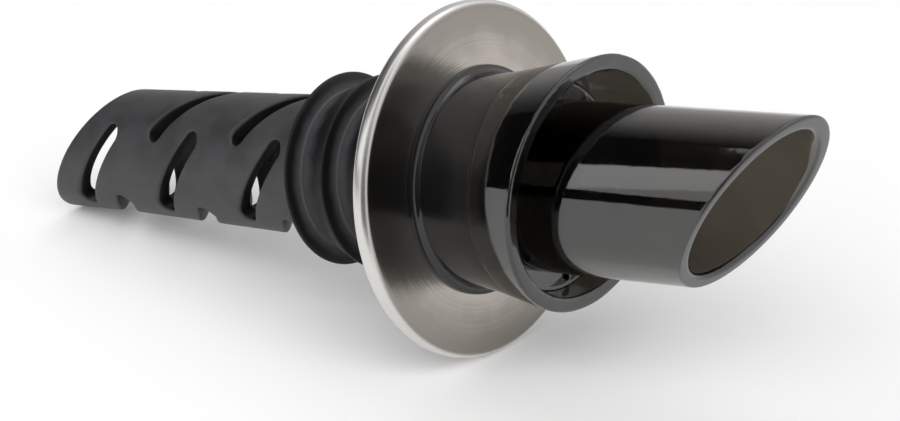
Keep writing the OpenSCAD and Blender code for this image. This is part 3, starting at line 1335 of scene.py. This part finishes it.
@dataclass(frozen=True)
class Card(Panel):
    """A curved glowing card that only reflections see, its tones even along one side."""

    tones: tuple
    upwards: bool = False
    steps: int = 24

    def mesh(self) -> bpy.types.Mesh:
        """A grid of angles at middle + distance times their direction, with a tone at each point.

        Returns:
            The card's mesh.
        """
        sides = [np.radians(np.linspace(*ends, self.steps + 1)) for ends in (self.azimuth, self.elevation)]
        turn, rise = np.meshgrid(*sides, indexing="ij")
        flat = np.cos(rise)
        points = np.stack([np.sin(turn) * flat, -np.cos(turn) * flat, np.sin(rise)], -1) * self.distance
        here = np.arange(turn.size).reshape(turn.shape)
        quads = np.stack([here[:-1, :-1], here[1:, :-1], here[1:, 1:], here[:-1, 1:]], -1)
        mesh = bpy.data.meshes.new(self.name)
        mesh.from_pydata((points.reshape(-1, 3) + MIDDLE).tolist(), [], quads.reshape(-1, 4).tolist())
        share = np.linspace(0, 1, self.steps + 1)
        shade = np.interp(share, np.linspace(0, 1, len(self.tones)), self.tones)
        shade = np.broadcast_to(shade[None, :] if self.upwards else shade[:, None], turn.shape)
        tone = mesh.attributes.new("tone", "FLOAT", "POINT")
        tone.data.foreach_set("value", shade.astype(np.float32).ravel())
        return mesh

    def build(self) -> None:
        """Makes the card, glowing with its tones."""
        mesh = self.mesh()
        paint = bpy.data.materials.new(self.name)
        tree = Tree(paint)
        tone = tree.node("ShaderNodeAttribute", {"attribute_name": "tone"}).outputs["Fac"]
        glow = tree.node("ShaderNodeEmission", None, {"Color": grey(1.0), "Strength": tone})
        tree.finish(glow.outputs[0])
        mesh.materials.append(paint)
        made = bpy.data.objects.new(self.name, mesh)
        for ray in ("camera", "diffuse", "volume_scatter", "shadow"):
            setattr(made, "visible_" + ray, False)
        bpy.context.scene.collection.objects.link(made)


@dataclass
class Studio:
    """White sweep, soft light from the front, and cards that the polished parts mirror."""

    ambient: float = 0.33
    floor_tone: float = 0.9
    floor_glow: float = 0.12
    floor_reach: float = 4.0
    back_tones: tuple = (0.7, 0.7, 0.68, 0.65, 0.55, 0.5, 0.28, 0.1, 0.03)
    front_tones: tuple = (0.09, 0.09, 0.12, 0.16, 0.26, 0.43, 0.52, 0.5, 0.34, 0.33)
    flag_tones: tuple = (0.02, 0.02)

    def seen(self, tree: Tree) -> Wire:
        """1 for rays that show the background: from the camera, off gloss and through glass.

        Args:
            tree: The nodes of the world or the floor.

        Returns:
            The mask.
        """
        path = tree.node("ShaderNodeLightPath")
        names = ("Is Camera Ray", "Is Glossy Ray", "Is Transmission Ray")
        parts = [Wire(tree, path.outputs[n]) for n in names]
        return (parts[0] + parts[1] + parts[2]).clipped()

    def build_world(self) -> None:
        """White where it is seen and softer where it only lights."""
        world = bpy.data.worlds.new("sweep")
        bpy.context.scene.world = world
        tree = Tree(world)
        strength = self.ambient + (1 - self.ambient) * self.seen(tree)
        back = tree.node("ShaderNodeBackground", None, {"Color": grey(1.0), "Strength": strength})
        tree.node("ShaderNodeOutputWorld", None, {"Surface": back.outputs[0]})

    def build_floor(self) -> None:
        """Pale floor that glows a little where it is seen and keeps the shadow."""
        mesh = bpy.data.meshes.new("floor")
        r = self.floor_reach
        mesh.from_pydata([(-r, -r, 0), (r, -r, 0), (r, r, 0), (-r, r, 0)], [], [(0, 1, 2, 3)])
        paint = bpy.data.materials.new("floor")
        tree = Tree(paint)
        matt = tree.node("ShaderNodeBsdfDiffuse", None, {"Color": grey(self.floor_tone)})
        glow = tree.node("ShaderNodeEmission", None, {"Strength": self.floor_glow * self.seen(tree)})
        both = tree.node("ShaderNodeAddShader", None, {0: matt.outputs[0], 1: glow.outputs[0]})
        tree.finish(both.outputs[0])
        mesh.materials.append(paint)
        made = bpy.data.objects.new("floor", mesh)
        bpy.context.scene.collection.objects.link(made)

    def panels(self) -> list[Panel]:
        """The lamps and cards: azimuths, elevations, distance in metres, then light or tones.

        Returns:
            The panels in the order in which they are made.
        """
        return [
            Softbox("front_softbox", (-6, 84), (25, 60), 2.5, radiance=3.2),
            Softbox("left_softbox", (-96, -6), (20, 55), 2.5, radiance=0.8),
            Softbox("back_softbox", (-186, -96), (35, 80), 2.5, radiance=0.9),
            Card("top_card", (-215, -145), (44, 85), 0.9, tones=(2.2, 2.2)),
            Card("left_strip", (-54, -39), (5, 38), 0.7, tones=(1.8, 1.7)),
            Card("left_flag", (-96, -51), (-3, 52), 0.32, self.flag_tones),
            Card("horizon_flag", (-57, -30), (-2, 8.5), 0.6, self.flag_tones),
            Card("back_card", (-180, -90), (-1.2, 52), 0.85, self.back_tones),
            Card("front_card", (0, 60), (-12, 80), 0.11, self.front_tones, upwards=True),
        ]

    def build(self) -> None:
        """Sets the world, the floor, the lights and the cards."""
        self.build_world()
        self.build_floor()
        for panel in self.panels():
            panel.build()
        bpy.context.scene.view_settings.view_transform = "Standard"


def finish_nodes(frame: dict[str, Any], finishes: dict[Slot, bpy.types.Material]) -> None:
    """Gives the CAD nodes that stay their finishes.

    Args:
        finishes: Materials by slot.
    """
    kept = {
        "stem": Slot.MOULDING,
        "air_ring": Slot.MOULDING,
        "spout_o_ring": Slot.SEAL,
        "stem_o_ring": Slot.SEAL,
    }
    for node, slot in kept.items():
        mesh = frame["nodes"][node].data
        mesh.materials.clear()
        mesh.materials.append(finishes[slot])
        LOG.info("%s: CAD node in %s", node, finishes[slot].name)


def main() -> None:
    """Builds and dresses the pourer, then the studio round it."""
    logging.basicConfig(level=logging.INFO, format="%(message)s")
    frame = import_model()
    flange = SteelFlange()
    rest = Rest.from_record(frame["record"], flange)
    Camera().build()
    finishes = {
        Slot.MOULDING: Moulding().material(rest),
        Slot.SILICONE: Silicone().material(rest),
        Slot.STEEL: TurnedSteel().material(rest),
        Slot.SMOKED: SmokedGloss().material(rest),
        Slot.SEAL: SealRubber().material(rest),
    }
    tube = AerationTube()
    slotted = SlottedMoulding(nose=tube.nose, length=tube.length, root_r=tube.root_r, tip_r=tube.tip_r)
    dress(tube.build(rest), slotted.material(rest), "aeration_tube")
    dress(Stopper(flange=flange).build(rest), finishes[Slot.SILICONE], "stopper")
    dress(flange.build(rest), finishes[Slot.STEEL], "steel_flange")
    dress(Neck().build(rest), SolidGloss().material(rest), "neck")
    dress(Collar().build(rest), DeepSmokedGloss().material(rest), "collar")
    dress(Spout().build(rest), finishes[Slot.SMOKED], "spout_tube")
    finish_nodes(frame, finishes)
    Studio().build()


if __name__ == "__main__":
    main()
